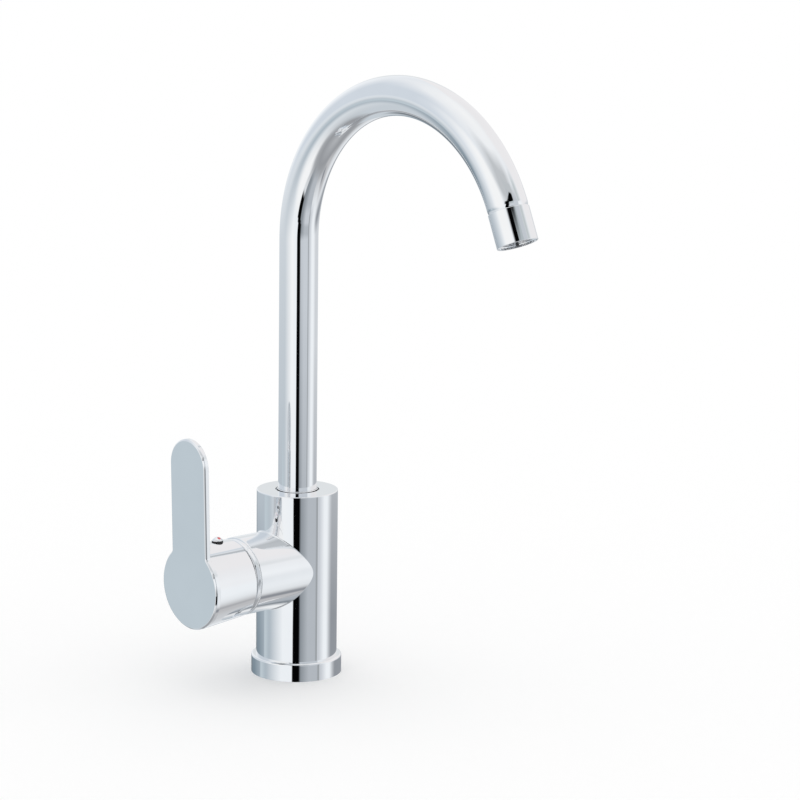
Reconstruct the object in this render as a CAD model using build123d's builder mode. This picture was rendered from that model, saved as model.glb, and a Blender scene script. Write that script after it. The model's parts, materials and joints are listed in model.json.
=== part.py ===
from build123d import *
import os
from math import cos, hypot, radians, sin, sqrt, tan

# Single-lever kitchen mixer tap with a swivelling swan-neck spout, in millimetres, +Z up.
# The origin is the middle of the base ring's underside, which sits on the worktop.
# At rest the spout points along -Y, and the lever's own axis points along -X.
# Distances called "out" run along the lever's axis from the tap's upright axis.

# Fits between pieces, as gaps in radius
SLIP = 0.1          # pieces that are pushed together and stay put
RUN = 0.3           # pieces that turn or slide past each other
PIN_FIT = 0.05      # the pivot pin in the stem
BRAZE = 0.05        # brazed joints
THREAD_FIT = 0.05   # threads, drawn as plain walls

# Base ring, its seal and the body
BASE_D = 52.0
BASE_H = 10.5
BASE_ROUND = 1.2
RING_WIDTH = 6.0    # from the ring's outside to the body's spigot
RING_WALL = 1.5     # from the ring's outside to the seal
GASKET_W = 2.5
GASKET_H = 2.0
BODY_D = 46.5
BODY_TOP = 107.5
BODY_ROUND = 0.6
NECK_ROOT_ROUND = 1.0
CAVITY_D = 33.0
CAVITY_H = 24.0

# Threaded holes under the body: two hoses and two fixing studs
INLET_THREAD_D = 9.0
INLET_THREAD_H = 12.0
INLET_HALF_GAP = 9.5
STUD_THREAD_D = 6.8
STUD_THREAD_H = 12.0
STUD_HALF_GAP = 9.0
STUD_OUT = 9.0
WATERWAY_D = 6.0
OUTLET_WAY_D = 7.2
WATERWAY_BACK = 6.0

# Side neck and the cartridge's stack of pieces, from its seat outwards
LEVER_DROP = 44.5   # lever's axis below the body's top
NECK_D = 44.5
NECK_CHAMFER = 0.6
SEAT_OUT = 4.25
CART_D = 35.0
CART_WALL = 1.7
CART_ROOF = 1.6
CART_NECK_D = 31.2
CART_NECK_H = 3.0
BASE_PLATE_T = 5.0
PEG_D = 3.0
PEG_H = 2.5
PEG_HALF_GAP = 12.5
FIXED_DISC_T = 4.5
MOVING_DISC_T = 4.5
MOVING_DISC_D = 23.0
DISC_DROP = 1.5
CARRIER_T = 5.0
CARRIER_W = 20.0
RAIL_W = 2.7
RAIL_LENGTH = 16.0
TURRET_T = 12.8
TURRET_NECK_D = 25.2
PIVOT_RISE = 8.7    # pivot pin above the turret's underside

# Ports through the cartridge, across from its axis
INLET_PORT_SIDE = 6.5
INLET_PORT_RISE = 5.0
INLET_PORT_D = 6.0
OUTLET_PORT_DROP = 4.0
OUTLET_PORT_D = 6.4
SEAL_WIDTH = 1.1
SEAL_T = 1.5
POCKET_W = 14.0
POCKET_TOP = 1.3
POCKET_LOW = 3.0
POCKET_BOWL_D = 9.0
POCKET_DEPTH = 2.4

# Ring nut and the dome ring that shows between neck and lever
NUT_D = 38.0
NUT_H = 6.5
NUT_SLOT_W = 3.0
NUT_SLOT_H = 2.0
DOME_D = 43.2
DOME_TAPER = 0.4    # how much narrower in radius the ring is at its outer end
DOME_H = 2.5
DOME_ROUND = 1.0
DOME_HOLE_D = 29.2
DOME_SPIGOT_H = 2.9

# Stem and lever
STEM_D = 8.0
STEM_SIDE = 8.0
STEM_NECK_D = 3.6
STEM_NECK_H = 4.0
BALL_D = 5.8
BALL_DEPTH = 10.5   # ball centre below the pivot pin
PIN_D = 3.0
PIN_LENGTH = 26.0
CLOSED_LEAN = 1.3   # degrees the closed lever leans out
LIFT = 25.0         # degrees the lever lifts from closed to fully open
HUB_GAP = 3.5
HUB_RIM_D = 44.5
HUB_FRONT_D = 48.0
HUB_LENGTH = 27.4
HUB_WALL = 2.0
PADDLE_T = 3.25
PADDLE_W = 30.5
PADDLE_TIP = 85.0
FRONT_CHAMFER = 0.85
BACK_ROUND = 0.4
SHOULDER_ROUND = 2.5
BOSS_D = 17.0
BOSS_SET_BACK = 6.0
STEM_GRIP = 10.0
SCREW_D = 5.0
SCREW_IN = 4.0
SCREW_LENGTH = 8.0
SCREW_KEY_D = 2.5
SCREW_KEY_H = 3.0
PLUG_D = 6.4
PLUG_CORE_D = 5.0
PLUG_PROUD = 0.8
PLUG_DOME_H = 2.0
MARK_D = 1.8
MARK_SPACING = 2.8

# Spout, its foot in the body's socket, and what holds it there
TUBE_D = 22.0
TUBE_WALL = 1.2
BEND_Z = 252.0
BEND_R = 87.5
BEND_ANGLE = 156.75
SOCKET_D = 25.0
SOCKET_DEPTH = 23.5
WASHER_T = 0.8
FOOT_H = 14.7
FOOT_BORE_D = 16.0
FOOT_SPIGOT_H = 8.0
O_RING_D = 2.0
O_RING_SQUEEZE = 0.08
GROOVE_W = 2.4
LOW_GROOVE_Z = 3.2   # middles of the foot's grooves above its lower end
LOCK_GROOVE_Z = 7.4
TOP_GROOVE_Z = 11.7
LOCK_SCREW_D = 5.0
LOCK_SCREW_SET_BACK = 1.65
LOCK_TIP_D = 2.0
GLIDE_PROUD = 0.5
GLIDE_LIP = 0.5
GLIDE_DROP = 3.5    # from the body's top down to the ring's shoulder

# Outlet: bush in the tube's end, aerator collar and what it holds
SEAM_GAP = 0.3
SEAM_D = 21.0
BUSH_SPIGOT_D = 18.4
BUSH_SPIGOT_H = 6.0
BUSH_THREAD_D = 19.2
BUSH_THREAD_H = 8.7
BUSH_BORE_D = 15.0
COLLAR_D = 22.3
COLLAR_LENGTH = 18.7
COLLAR_LIP_D = 17.8
COLLAR_LIP_H = 2.0
COLLAR_MOUTH_D = 20.6
COLLAR_MOUTH_DEPTH = 1.4
COLLAR_ROUND = 0.3
AERATOR_D = 19.0
AERATOR_PLATE_T = 1.6
AERATOR_RING_WALL = 1.3
SCREEN_T = 0.8
GASKET_WASHER_T = 1.5
JET_D = 1.3
JET_PITCH = 2.6
MESH_HOLE_D = 1.5
MESH_PITCH = 2.0

# Heights and distances that follow from the sizes above
spigot_r = BASE_D / 2 - RING_WIDTH
gasket_out_r = BASE_D / 2 - RING_WALL
gasket_in_r = gasket_out_r - GASKET_W
lever_z = BODY_TOP - LEVER_DROP
base_plate_out = SEAT_OUT + BASE_PLATE_T
disc_face_out = base_plate_out + FIXED_DISC_T
carrier_out = disc_face_out + MOVING_DISC_T
carrier_top_out = carrier_out + CARRIER_T
turret_out = carrier_top_out + RUN
turret_top_out = turret_out + TURRET_T
roof_out = turret_top_out + RUN
shoulder_out = roof_out + CART_ROOF
cart_top_out = shoulder_out + CART_NECK_H
pivot_out = turret_out + PIVOT_RISE
ball_out = pivot_out - BALL_DEPTH
ball_rise = BALL_DEPTH * sin(radians(CLOSED_LEAN))
neck_end = shoulder_out + NUT_H
hub_rim = neck_end + HUB_GAP
plate_back = hub_rim + HUB_LENGTH
boss_start = hub_rim + BOSS_SET_BACK
stem_end = boss_start + STEM_GRIP
square_out = cart_top_out + STEM_SIDE / 2
screw_out = boss_start + SCREW_IN

cart_inner_r = CART_D / 2 - CART_WALL
turret_r = cart_inner_r - RUN - SLIP
socket_floor = BODY_TOP - SOCKET_DEPTH
foot_low = socket_floor + WASHER_T
tube_low = foot_low + FOOT_H
foot_r = SOCKET_D / 2 - RUN
groove_r = SOCKET_D / 2 - O_RING_SQUEEZE - O_RING_D
lock_z = foot_low + LOCK_GROOVE_Z
lock_tip = groove_r + RUN
lock_shank = SOCKET_D / 2 + SLIP
lock_end = BODY_D / 2 - LOCK_SCREW_SET_BACK

# Section planes: local x runs along the piece's own axis, local y is the radius
UPRIGHT = Plane(origin=(0, 0, 0), x_dir=(0, 0, 1), z_dir=(0, 1, 0))
LEVER = Plane(origin=(0, 0, lever_z), x_dir=(-1, 0, 0), z_dir=(0, 1, 0))
LEVER_AXIS = Axis((0, 0, lever_z), (-1, 0, 0))


def across_lever(out):
    """Plane square to the lever's axis: local x is -Y, local y is +Z, and it faces outwards."""
    return Plane(origin=(-out, 0, lever_z), x_dir=(0, -1, 0), z_dir=(-1, 0, 0))


def across_back(reach):
    """Plane square to +Y at the locking screw's height, facing the back."""
    return Plane(origin=(0, reach, lock_z), x_dir=(1, 0, 0), z_dir=(0, 1, 0))


def band(start, end, inner, outer, mode=Mode.ADD):
    """One step of a turned section, from start to end along the axis and between two radii."""
    with Locations(((start + end) / 2, (inner + outer) / 2)):
        Rectangle(end - start, outer - inner, mode=mode)


def round_grid(pitch, reach):
    """Places of a staggered grid of holes that lie within reach of the middle."""
    rows = int(reach / pitch) + 1
    places = []
    for row in range(-rows, rows + 1):
        for column in range(-rows, rows + 1):
            x = (column + row % 2 / 2) * pitch
            y = row * pitch * sqrt(3) / 2
            if hypot(x, y) <= reach:
                places.append((x, y))
    return places


inlet_ports = [(-INLET_PORT_SIDE, INLET_PORT_RISE), (INLET_PORT_SIDE, INLET_PORT_RISE)]
outlet_port = (0, -OUTLET_PORT_DROP)

# Base ring
with BuildPart() as base_ring:
    with BuildSketch(UPRIGHT):
        band(0, BASE_H, spigot_r + SLIP, BASE_D / 2)
        band(0, GASKET_H, gasket_in_r - SLIP, gasket_out_r + SLIP, Mode.SUBTRACT)
    revolve(axis=Axis.Z)
    top_edges = base_ring.edges().group_by(Axis.Z)[-1]
    fillet(top_edges.sort_by(SortBy.RADIUS)[-1], BASE_ROUND)

# Base gasket, flush in the ring's groove
with BuildPart() as base_gasket:
    with BuildSketch(UPRIGHT):
        band(0, GASKET_H, gasket_in_r, gasket_out_r)
    revolve(axis=Axis.Z)

# Body casting: upright barrel with a side neck, bored for the spout, the cartridge and the water
with BuildPart() as body_casting:
    with BuildSketch(UPRIGHT):
        band(0, BASE_H, 0, spigot_r)
        band(BASE_H, BODY_TOP, 0, BODY_D / 2)
    revolve(axis=Axis.Z)
    fillet(body_casting.edges().group_by(Axis.Z)[-1], BODY_ROUND)
    with BuildSketch(LEVER):
        band(0, neck_end, 0, NECK_D / 2)
    revolve(axis=LEVER_AXIS)
    fillet(body_casting.edges().filter_by(GeomType.BSPLINE), NECK_ROOT_ROUND)
    chamfer(body_casting.edges().group_by(Axis.X)[0], NECK_CHAMFER)
    with BuildSketch(UPRIGHT):
        band(0, CAVITY_H, 0, CAVITY_D / 2)
        band(socket_floor, BODY_TOP, 0, SOCKET_D / 2)
    revolve(axis=Axis.Z, mode=Mode.SUBTRACT)
    with BuildSketch(LEVER):
        band(SEAT_OUT, neck_end, 0, CART_D / 2 + SLIP)
        band(shoulder_out - SLIP, neck_end, 0, NUT_D / 2)
    revolve(axis=LEVER_AXIS, mode=Mode.SUBTRACT)
    # Hose and stud threads, up from the roof of the hollow
    with BuildSketch(Plane.XY.offset(CAVITY_H)):
        with Locations((WATERWAY_BACK, INLET_HALF_GAP), (WATERWAY_BACK, -INLET_HALF_GAP)):
            Circle(INLET_THREAD_D / 2)
    extrude(amount=INLET_THREAD_H, mode=Mode.SUBTRACT)
    with BuildSketch(Plane.XY.offset(CAVITY_H)):
        with Locations((-STUD_OUT, STUD_HALF_GAP), (-STUD_OUT, -STUD_HALF_GAP)):
            Circle(STUD_THREAD_D / 2)
    extrude(amount=STUD_THREAD_H, mode=Mode.SUBTRACT)
    # Hot and cold water rise to the seat's upper ports
    with BuildSketch(Plane.XY.offset(CAVITY_H)):
        with Locations((WATERWAY_BACK, INLET_HALF_GAP), (WATERWAY_BACK, -INLET_HALF_GAP)):
            Circle(WATERWAY_D / 2)
    extrude(amount=lever_z + INLET_PORT_RISE - CAVITY_H, mode=Mode.SUBTRACT)
    with BuildSketch(across_lever(SEAT_OUT)):
        with Locations(*inlet_ports):
            Circle(INLET_PORT_D / 2)
    extrude(amount=-SEAT_OUT - WATERWAY_BACK, mode=Mode.SUBTRACT)
    with BuildSketch(across_lever(-WATERWAY_BACK)):
        for side in (-1, 1):
            with Locations((side * (INLET_PORT_SIDE + INLET_HALF_GAP) / 2, INLET_PORT_RISE)):
                SlotOverall(INLET_HALF_GAP - INLET_PORT_SIDE + WATERWAY_D, WATERWAY_D)
    extrude(amount=WATERWAY_D / 2, both=True, mode=Mode.SUBTRACT)
    # Mixed water leaves by the lower port and rises to the spout's socket
    with BuildSketch(across_lever(SEAT_OUT)):
        with Locations(outlet_port):
            Circle(OUTLET_PORT_D / 2)
    extrude(amount=-SEAT_OUT - WATERWAY_BACK, mode=Mode.SUBTRACT)
    with BuildSketch(Plane.XY.offset(lever_z - OUTLET_PORT_DROP)):
        with Locations((WATERWAY_BACK, 0)):
            Circle(OUTLET_WAY_D / 2)
    extrude(amount=socket_floor - lever_z + OUTLET_PORT_DROP, mode=Mode.SUBTRACT)
    # Holes for the cartridge's pegs, and the spout's locking screw at the back
    with BuildSketch(across_lever(SEAT_OUT)):
        with Locations((-PEG_HALF_GAP, 0), (PEG_HALF_GAP, 0)):
            Circle(PEG_D / 2 + SLIP)
    extrude(amount=-PEG_H - SLIP, mode=Mode.SUBTRACT)
    with BuildSketch(across_back(0)):
        Circle(LOCK_SCREW_D / 2)
    extrude(amount=BODY_D / 2, mode=Mode.SUBTRACT)

# Thrust washer that the spout's foot turns on
with BuildPart() as spout_thrust_washer:
    with BuildSketch(UPRIGHT):
        band(socket_floor, foot_low, FOOT_BORE_D / 2 + SLIP, SOCKET_D / 2 - SLIP)
    revolve(axis=Axis.Z)
    with BuildSketch(Plane.XY.offset(socket_floor)):
        with Locations((WATERWAY_BACK, 0)):
            Circle(OUTLET_WAY_D / 2)
    extrude(amount=WASHER_T, mode=Mode.SUBTRACT)

# Glide ring between the tube and the body's socket, with a thin lip round the tube that stands proud
with BuildPart() as spout_glide_ring:
    with BuildSketch(UPRIGHT):
        band(tube_low + RUN, BODY_TOP - GLIDE_DROP, TUBE_D / 2 + SLIP, SOCKET_D / 2 - SLIP)
        band(tube_low + RUN, BODY_TOP + GLIDE_PROUD, TUBE_D / 2 + SLIP, TUBE_D / 2 + SLIP + GLIDE_LIP)
    revolve(axis=Axis.Z)
    lip_edges = spout_glide_ring.edges().group_by(Axis.Z)[-1]
    fillet(lip_edges.sort_by(SortBy.RADIUS)[-1], GLIDE_LIP * 0.7)

# Locking screw at the back, whose tip runs in the foot's groove
with BuildPart() as spout_locking_screw:
    with BuildSketch(across_back(lock_tip)):
        Circle(LOCK_TIP_D / 2)
    extrude(amount=lock_shank - lock_tip)
    with BuildSketch(across_back(lock_shank)):
        Circle(LOCK_SCREW_D / 2 - THREAD_FIT)
    extrude(amount=lock_end - lock_shank)
    with BuildSketch(across_back(lock_end)):
        RegularPolygon(SCREW_KEY_D / 2, 6)
    extrude(amount=-SCREW_KEY_H, mode=Mode.SUBTRACT)

# Spout tube: straight riser, one long bend and a square-cut end
with BuildPart() as spout_tube:
    with BuildLine(Plane.YZ) as spout_path:
        riser = Line((0, tube_low), (0, BEND_Z))
        JernArc(start=riser @ 1, tangent=riser % 1, radius=BEND_R, arc_size=BEND_ANGLE)
    with BuildSketch(Plane.XY.offset(tube_low)):
        Circle(TUBE_D / 2)
        Circle(TUBE_D / 2 - TUBE_WALL, mode=Mode.SUBTRACT)
    sweep(path=spout_path.line)
outlet_point = spout_path.line @ 1
outlet_flow = spout_path.line % 1
OUTLET = Plane(origin=outlet_point, x_dir=outlet_flow, z_dir=(1, 0, 0))
OUTLET_AXIS = Axis(outlet_point, outlet_flow)

# Spout foot: grooved barrel brazed into the tube's lower end
with BuildPart() as spout_foot:
    with BuildSketch(UPRIGHT):
        band(foot_low, tube_low, FOOT_BORE_D / 2, foot_r)
        band(tube_low, tube_low + FOOT_SPIGOT_H, FOOT_BORE_D / 2, TUBE_D / 2 - TUBE_WALL - BRAZE)
        for groove_z in (LOW_GROOVE_Z, LOCK_GROOVE_Z, TOP_GROOVE_Z):
            middle = foot_low + groove_z
            band(middle - GROOVE_W / 2, middle + GROOVE_W / 2, groove_r, foot_r, Mode.SUBTRACT)
    revolve(axis=Axis.Z)

# Two O-rings in the foot's outer grooves
with BuildPart() as spout_o_rings:
    with BuildSketch(UPRIGHT):
        for groove_z in (LOW_GROOVE_Z, TOP_GROOVE_Z):
            with Locations((foot_low + groove_z, groove_r + O_RING_D / 2)):
                Circle(O_RING_D / 2)
    revolve(axis=Axis.Z)

# Outlet bush brazed into the tube's end, threaded for the collar
collar_start = SEAM_GAP
collar_end = SEAM_GAP + COLLAR_LENGTH
bush_end = SEAM_GAP + BUSH_THREAD_H
with BuildPart() as outlet_bush:
    with BuildSketch(OUTLET):
        band(-BUSH_SPIGOT_H, 0, BUSH_BORE_D / 2, BUSH_SPIGOT_D / 2)
        band(0, SEAM_GAP, BUSH_BORE_D / 2, SEAM_D / 2)
        band(SEAM_GAP, bush_end, BUSH_BORE_D / 2, BUSH_THREAD_D / 2)
    revolve(axis=OUTLET_AXIS)

# Aerator collar, with a lip that holds the aerator in a little way behind its mouth
lip_start = collar_end - COLLAR_LIP_H
with BuildPart() as aerator_collar:
    with BuildSketch(OUTLET):
        band(collar_start, collar_end, COLLAR_LIP_D / 2, COLLAR_D / 2)
        band(collar_start, bush_end, 0, BUSH_THREAD_D / 2 + THREAD_FIT, Mode.SUBTRACT)
        band(bush_end, lip_start, 0, AERATOR_D / 2 + SLIP, Mode.SUBTRACT)
        band(collar_end - COLLAR_MOUTH_DEPTH, collar_end, 0, COLLAR_MOUTH_D / 2, Mode.SUBTRACT)
    revolve(axis=OUTLET_AXIS)
    collar_rims = aerator_collar.edges().filter_by(GeomType.CIRCLE).sort_by(SortBy.RADIUS)[-2:]
    fillet(collar_rims, COLLAR_ROUND)

# Rubber washer between the bush and the aerator
plate_start = bush_end + GASKET_WASHER_T
with BuildPart() as aerator_gasket:
    with BuildSketch(OUTLET):
        band(bush_end, plate_start, BUSH_BORE_D / 2, BUSH_THREAD_D / 2 - SLIP)
    revolve(axis=OUTLET_AXIS)

# Aerator insert: a jet plate over a short barrel
screen_start = lip_start - SCREEN_T
jet_reach = AERATOR_D / 2 - AERATOR_RING_WALL - JET_D
with BuildPart() as aerator_insert:
    with BuildSketch(OUTLET):
        band(plate_start, plate_start + AERATOR_PLATE_T, 0, AERATOR_D / 2)
        band(plate_start, screen_start, AERATOR_D / 2 - AERATOR_RING_WALL, AERATOR_D / 2)
    revolve(axis=OUTLET_AXIS)
    with BuildSketch(Plane(origin=outlet_point + outlet_flow * plate_start, z_dir=outlet_flow)):
        with Locations(*round_grid(JET_PITCH, jet_reach)):
            Circle(JET_D / 2)
    extrude(amount=AERATOR_PLATE_T, mode=Mode.SUBTRACT)

# Aerator screen, seen from below inside the collar's lip
with BuildPart() as aerator_screen:
    with BuildSketch(Plane(origin=outlet_point + outlet_flow * screen_start, z_dir=outlet_flow)):
        Circle(AERATOR_D / 2)
        with Locations(*round_grid(MESH_PITCH, COLLAR_LIP_D / 2 - MESH_HOLE_D)):
            Circle(MESH_HOLE_D / 2, mode=Mode.SUBTRACT)
    extrude(amount=SCREEN_T)

# Cartridge base plate, with its ports, seal seats and pegs
with BuildPart() as cartridge_base:
    with BuildSketch(across_lever(SEAT_OUT)):
        Circle(CART_D / 2)
        with Locations(*inlet_ports):
            Circle(INLET_PORT_D / 2, mode=Mode.SUBTRACT)
        with Locations(outlet_port):
            Circle(OUTLET_PORT_D / 2, mode=Mode.SUBTRACT)
    extrude(amount=BASE_PLATE_T)
    with BuildSketch(across_lever(SEAT_OUT)):
        with Locations(*inlet_ports):
            Circle(INLET_PORT_D / 2 + SEAL_WIDTH)
        with Locations(outlet_port):
            Circle(OUTLET_PORT_D / 2 + SEAL_WIDTH)
    extrude(amount=SEAL_T, mode=Mode.SUBTRACT)
    with BuildSketch(across_lever(SEAT_OUT)):
        with Locations((-PEG_HALF_GAP, 0), (PEG_HALF_GAP, 0)):
            Circle(PEG_D / 2)
    extrude(amount=-PEG_H)

# Three rubber seals round the ports
with BuildPart() as cartridge_seals:
    with BuildSketch(across_lever(SEAT_OUT)):
        for places, port_d in ((inlet_ports, INLET_PORT_D), ([outlet_port], OUTLET_PORT_D)):
            with Locations(*places):
                Circle(port_d / 2 + SEAL_WIDTH - SLIP)
                Circle(port_d / 2, mode=Mode.SUBTRACT)
    extrude(amount=SEAL_T)

# Fixed ceramic disc
with BuildPart() as fixed_disc:
    with BuildSketch(across_lever(base_plate_out)):
        Circle(cart_inner_r - RUN)
        with Locations(*inlet_ports):
            Circle(INLET_PORT_D / 2, mode=Mode.SUBTRACT)
        with Locations(outlet_port):
            Circle(OUTLET_PORT_D / 2, mode=Mode.SUBTRACT)
    extrude(amount=FIXED_DISC_T)

# Moving ceramic disc, with the pocket that joins the ports as it slides up
with BuildPart() as moving_disc:
    with BuildSketch(across_lever(disc_face_out)):
        with Locations((0, -DISC_DROP)):
            Circle(MOVING_DISC_D / 2)
    extrude(amount=MOVING_DISC_T)
    with BuildSketch(across_lever(disc_face_out)):
        with Locations((0, (POCKET_TOP - POCKET_LOW) / 2)):
            RectangleRounded(POCKET_W, POCKET_TOP + POCKET_LOW, POCKET_LOW / 2)
        with Locations(outlet_port):
            Circle(POCKET_BOWL_D / 2)
    extrude(amount=POCKET_DEPTH, mode=Mode.SUBTRACT)

# Carrier that slides the moving disc, between the turret's rails
with BuildPart() as disc_carrier:
    with BuildSketch(across_lever(carrier_out)):
        with Locations((0, -DISC_DROP)):
            Circle(MOVING_DISC_D / 2)
            Rectangle(CARRIER_W, MOVING_DISC_D, mode=Mode.INTERSECT)
    extrude(amount=CARRIER_T)
    with BuildSketch(across_lever(carrier_out)):
        with Locations((0, ball_rise)):
            Circle(BALL_D / 2 + RUN)
    extrude(amount=CARRIER_T, mode=Mode.SUBTRACT)

# Turret that turns in the cartridge and carries the stem on its pin
full_lean = radians(CLOSED_LEAN + LIFT)
slot_half = (cart_top_out - pivot_out) * tan(full_lean) + STEM_D / 2 / cos(full_lean) + RUN
with BuildPart() as turret:
    with BuildSketch(LEVER):
        band(turret_out, turret_top_out, 0, turret_r)
        band(turret_top_out, cart_top_out, 0, TURRET_NECK_D / 2)
    revolve(axis=LEVER_AXIS)
    with BuildSketch(across_lever(turret_out)):
        for side in (-1, 1):
            with Locations((side * (CARRIER_W / 2 + RUN + RAIL_W / 2), 0)):
                Rectangle(RAIL_W, RAIL_LENGTH)
    extrude(amount=-CARRIER_T)
    with BuildSketch(across_lever(turret_out)):
        SlotOverall(2 * slot_half, STEM_D + 2 * RUN, rotation=90)
    extrude(amount=cart_top_out - turret_out, mode=Mode.SUBTRACT)
    with BuildSketch(Plane.XZ):
        with Locations((-pivot_out, lever_z)):
            Circle(PIN_D / 2)
    extrude(amount=PIN_LENGTH / 2, both=True, mode=Mode.SUBTRACT)

# Pivot pin through turret and stem
with BuildPart() as pivot_pin:
    with BuildSketch(Plane.XZ):
        with Locations((-pivot_out, lever_z)):
            Circle(PIN_D / 2)
    extrude(amount=PIN_LENGTH / 2, both=True)

# Cartridge housing: a cup over the discs and turret
with BuildPart() as cartridge_housing:
    with BuildSketch(LEVER):
        band(base_plate_out, shoulder_out, 0, CART_D / 2)
        band(shoulder_out, cart_top_out, 0, CART_NECK_D / 2)
        band(base_plate_out, roof_out, 0, cart_inner_r, Mode.SUBTRACT)
        band(roof_out, cart_top_out, 0, TURRET_NECK_D / 2 + RUN, Mode.SUBTRACT)
    revolve(axis=LEVER_AXIS)

# Ring nut that clamps the cartridge down
with BuildPart() as cartridge_nut:
    with BuildSketch(LEVER):
        band(shoulder_out, neck_end, CART_NECK_D / 2 + SLIP, NUT_D / 2 - THREAD_FIT)
    revolve(axis=LEVER_AXIS)
    with BuildSketch(across_lever(neck_end)):
        with PolarLocations((NUT_D + CART_NECK_D) / 4, 4):
            Rectangle(NUT_D, NUT_SLOT_W)
        Circle(CART_NECK_D / 2 + 2 * SLIP, mode=Mode.SUBTRACT)
    extrude(amount=-NUT_SLOT_H, mode=Mode.SUBTRACT)

# Dome ring on the nut
with BuildPart() as dome_ring:
    dome_end = neck_end + DOME_H
    with BuildSketch(LEVER):
        with BuildLine():
            Polyline(
                (neck_end, DOME_HOLE_D / 2), (neck_end, DOME_D / 2), (dome_end, DOME_D / 2 - DOME_TAPER),
                (dome_end, DOME_HOLE_D / 2), close=True,
            )
        make_face()
        band(neck_end - DOME_SPIGOT_H, neck_end, DOME_HOLE_D / 2, CART_NECK_D / 2)
    revolve(axis=LEVER_AXIS)
    dome_edges = dome_ring.edges().group_by(Axis.X)[0]
    fillet(dome_edges, DOME_ROUND)

# Stem: ball, neck and round shank to the pivot, then a square end for the lever
with BuildPart() as stem:
    with Locations((-ball_out, 0, lever_z)):
        Sphere(BALL_D / 2)
    with BuildSketch(LEVER):
        band(ball_out, ball_out + STEM_NECK_H, 0, STEM_NECK_D / 2)
        band(ball_out + STEM_NECK_H, square_out, 0, STEM_D / 2)
    revolve(axis=LEVER_AXIS)
    with BuildSketch(across_lever(square_out)):
        Rectangle(STEM_SIDE, STEM_SIDE)
    extrude(amount=stem_end - square_out)
    with BuildSketch(Plane.XZ):
        with Locations((-pivot_out, lever_z)):
            Circle(PIN_D / 2 + PIN_FIT)
    extrude(amount=STEM_D, both=True, mode=Mode.SUBTRACT)

# Lever handle: conical hub and flat paddle in one casting, hollow over the dome ring
hub_slope = (HUB_FRONT_D - HUB_RIM_D) / 2 / HUB_LENGTH
hub_r_at_screw = HUB_RIM_D / 2 + hub_slope * (screw_out - hub_rim)
paddle_top = PADDLE_TIP - PADDLE_W / 2
with BuildPart() as lever_handle:
    with BuildSketch(across_lever(plate_back)) as paddle_outline:
        Circle(HUB_FRONT_D / 2)
        with Locations((0, paddle_top / 2)):
            Rectangle(PADDLE_W, paddle_top)
        with Locations((0, paddle_top)):
            Circle(PADDLE_W / 2)
        shoulders = paddle_outline.vertices().group_by(Axis.Y)[-2]
        fillet(shoulders, SHOULDER_ROUND)
    extrude(amount=PADDLE_T)
    chamfer(lever_handle.faces().sort_by(Axis.X)[0].outer_wire().edges(), FRONT_CHAMFER)
    fillet(lever_handle.faces().sort_by(Axis.X)[-1].outer_wire().edges(), BACK_ROUND)
    with BuildSketch(LEVER):
        with BuildLine():
            Polyline(
                (hub_rim, 0), (hub_rim, HUB_RIM_D / 2), (plate_back, HUB_FRONT_D / 2),
                (plate_back + PADDLE_T / 2, HUB_FRONT_D / 2), (plate_back + PADDLE_T / 2, 0),
                close=True,
            )
        make_face()
    revolve(axis=LEVER_AXIS)
    with BuildSketch(LEVER):
        with BuildLine():
            Polyline(
                (hub_rim, 0), (hub_rim, HUB_RIM_D / 2 - HUB_WALL),
                (plate_back, HUB_FRONT_D / 2 - HUB_WALL), (plate_back, 0), close=True,
            )
        make_face()
        band(boss_start, plate_back, 0, BOSS_D / 2, Mode.SUBTRACT)
    revolve(axis=LEVER_AXIS, mode=Mode.SUBTRACT)
    with BuildSketch(across_lever(boss_start)):
        Rectangle(STEM_SIDE + 2 * SLIP, STEM_SIDE + 2 * SLIP)
    extrude(amount=STEM_GRIP + RUN, mode=Mode.SUBTRACT)
    # Way in for the set screw, wider through the hub's wall for the plug
    with BuildSketch(Plane.XY.offset(lever_z)):
        with Locations((-screw_out, 0)):
            Circle(SCREW_D / 2)
    extrude(amount=BOSS_D, mode=Mode.SUBTRACT)
    with BuildSketch(Plane.XY.offset(lever_z + BOSS_D / 2 + SLIP)):
        with Locations((-screw_out, 0)):
            Circle(PLUG_D / 2 + SLIP)
    extrude(amount=HUB_FRONT_D, mode=Mode.SUBTRACT)

# Set screw that clamps the lever to the stem
with BuildPart() as lever_screw:
    with BuildSketch(Plane.XY.offset(lever_z + STEM_SIDE / 2)):
        with Locations((-screw_out, 0)):
            Circle(SCREW_D / 2 - THREAD_FIT)
    extrude(amount=SCREW_LENGTH)
    with BuildSketch(Plane.XY.offset(lever_z + STEM_SIDE / 2 + SCREW_LENGTH)):
        with Locations((-screw_out, 0)):
            RegularPolygon(SCREW_KEY_D / 2, 6)
    extrude(amount=-SCREW_KEY_H, mode=Mode.SUBTRACT)

# Indicator plug over the screw: a domed cap with two inlaid dots, hot towards -Y and cold towards +Y, and a
# rubber sleeve round its core that grips in the hub's hole
plug_top = lever_z + hub_r_at_screw + PLUG_PROUD
plug_low = lever_z + hub_r_at_screw - HUB_WALL
plug_ball_r = (PLUG_D**2 / 4 + PLUG_DOME_H**2) / (2 * PLUG_DOME_H)
with BuildPart() as plug_dome:
    with Locations((-screw_out, 0, plug_top + PLUG_DOME_H - plug_ball_r)):
        Sphere(plug_ball_r)
    split(bisect_by=Plane.XY.offset(plug_top), keep=Keep.TOP)
with BuildPart() as hot_mark:
    with BuildSketch(Plane.XY.offset(plug_top)):
        with Locations((-screw_out, -MARK_SPACING / 2)):
            Circle(MARK_D / 2)
    extrude(amount=PLUG_DOME_H)
    add(plug_dome.part, mode=Mode.INTERSECT)
with BuildPart() as cold_mark:
    add(hot_mark.part)
    mirror(about=Plane.XZ, mode=Mode.REPLACE)
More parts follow.
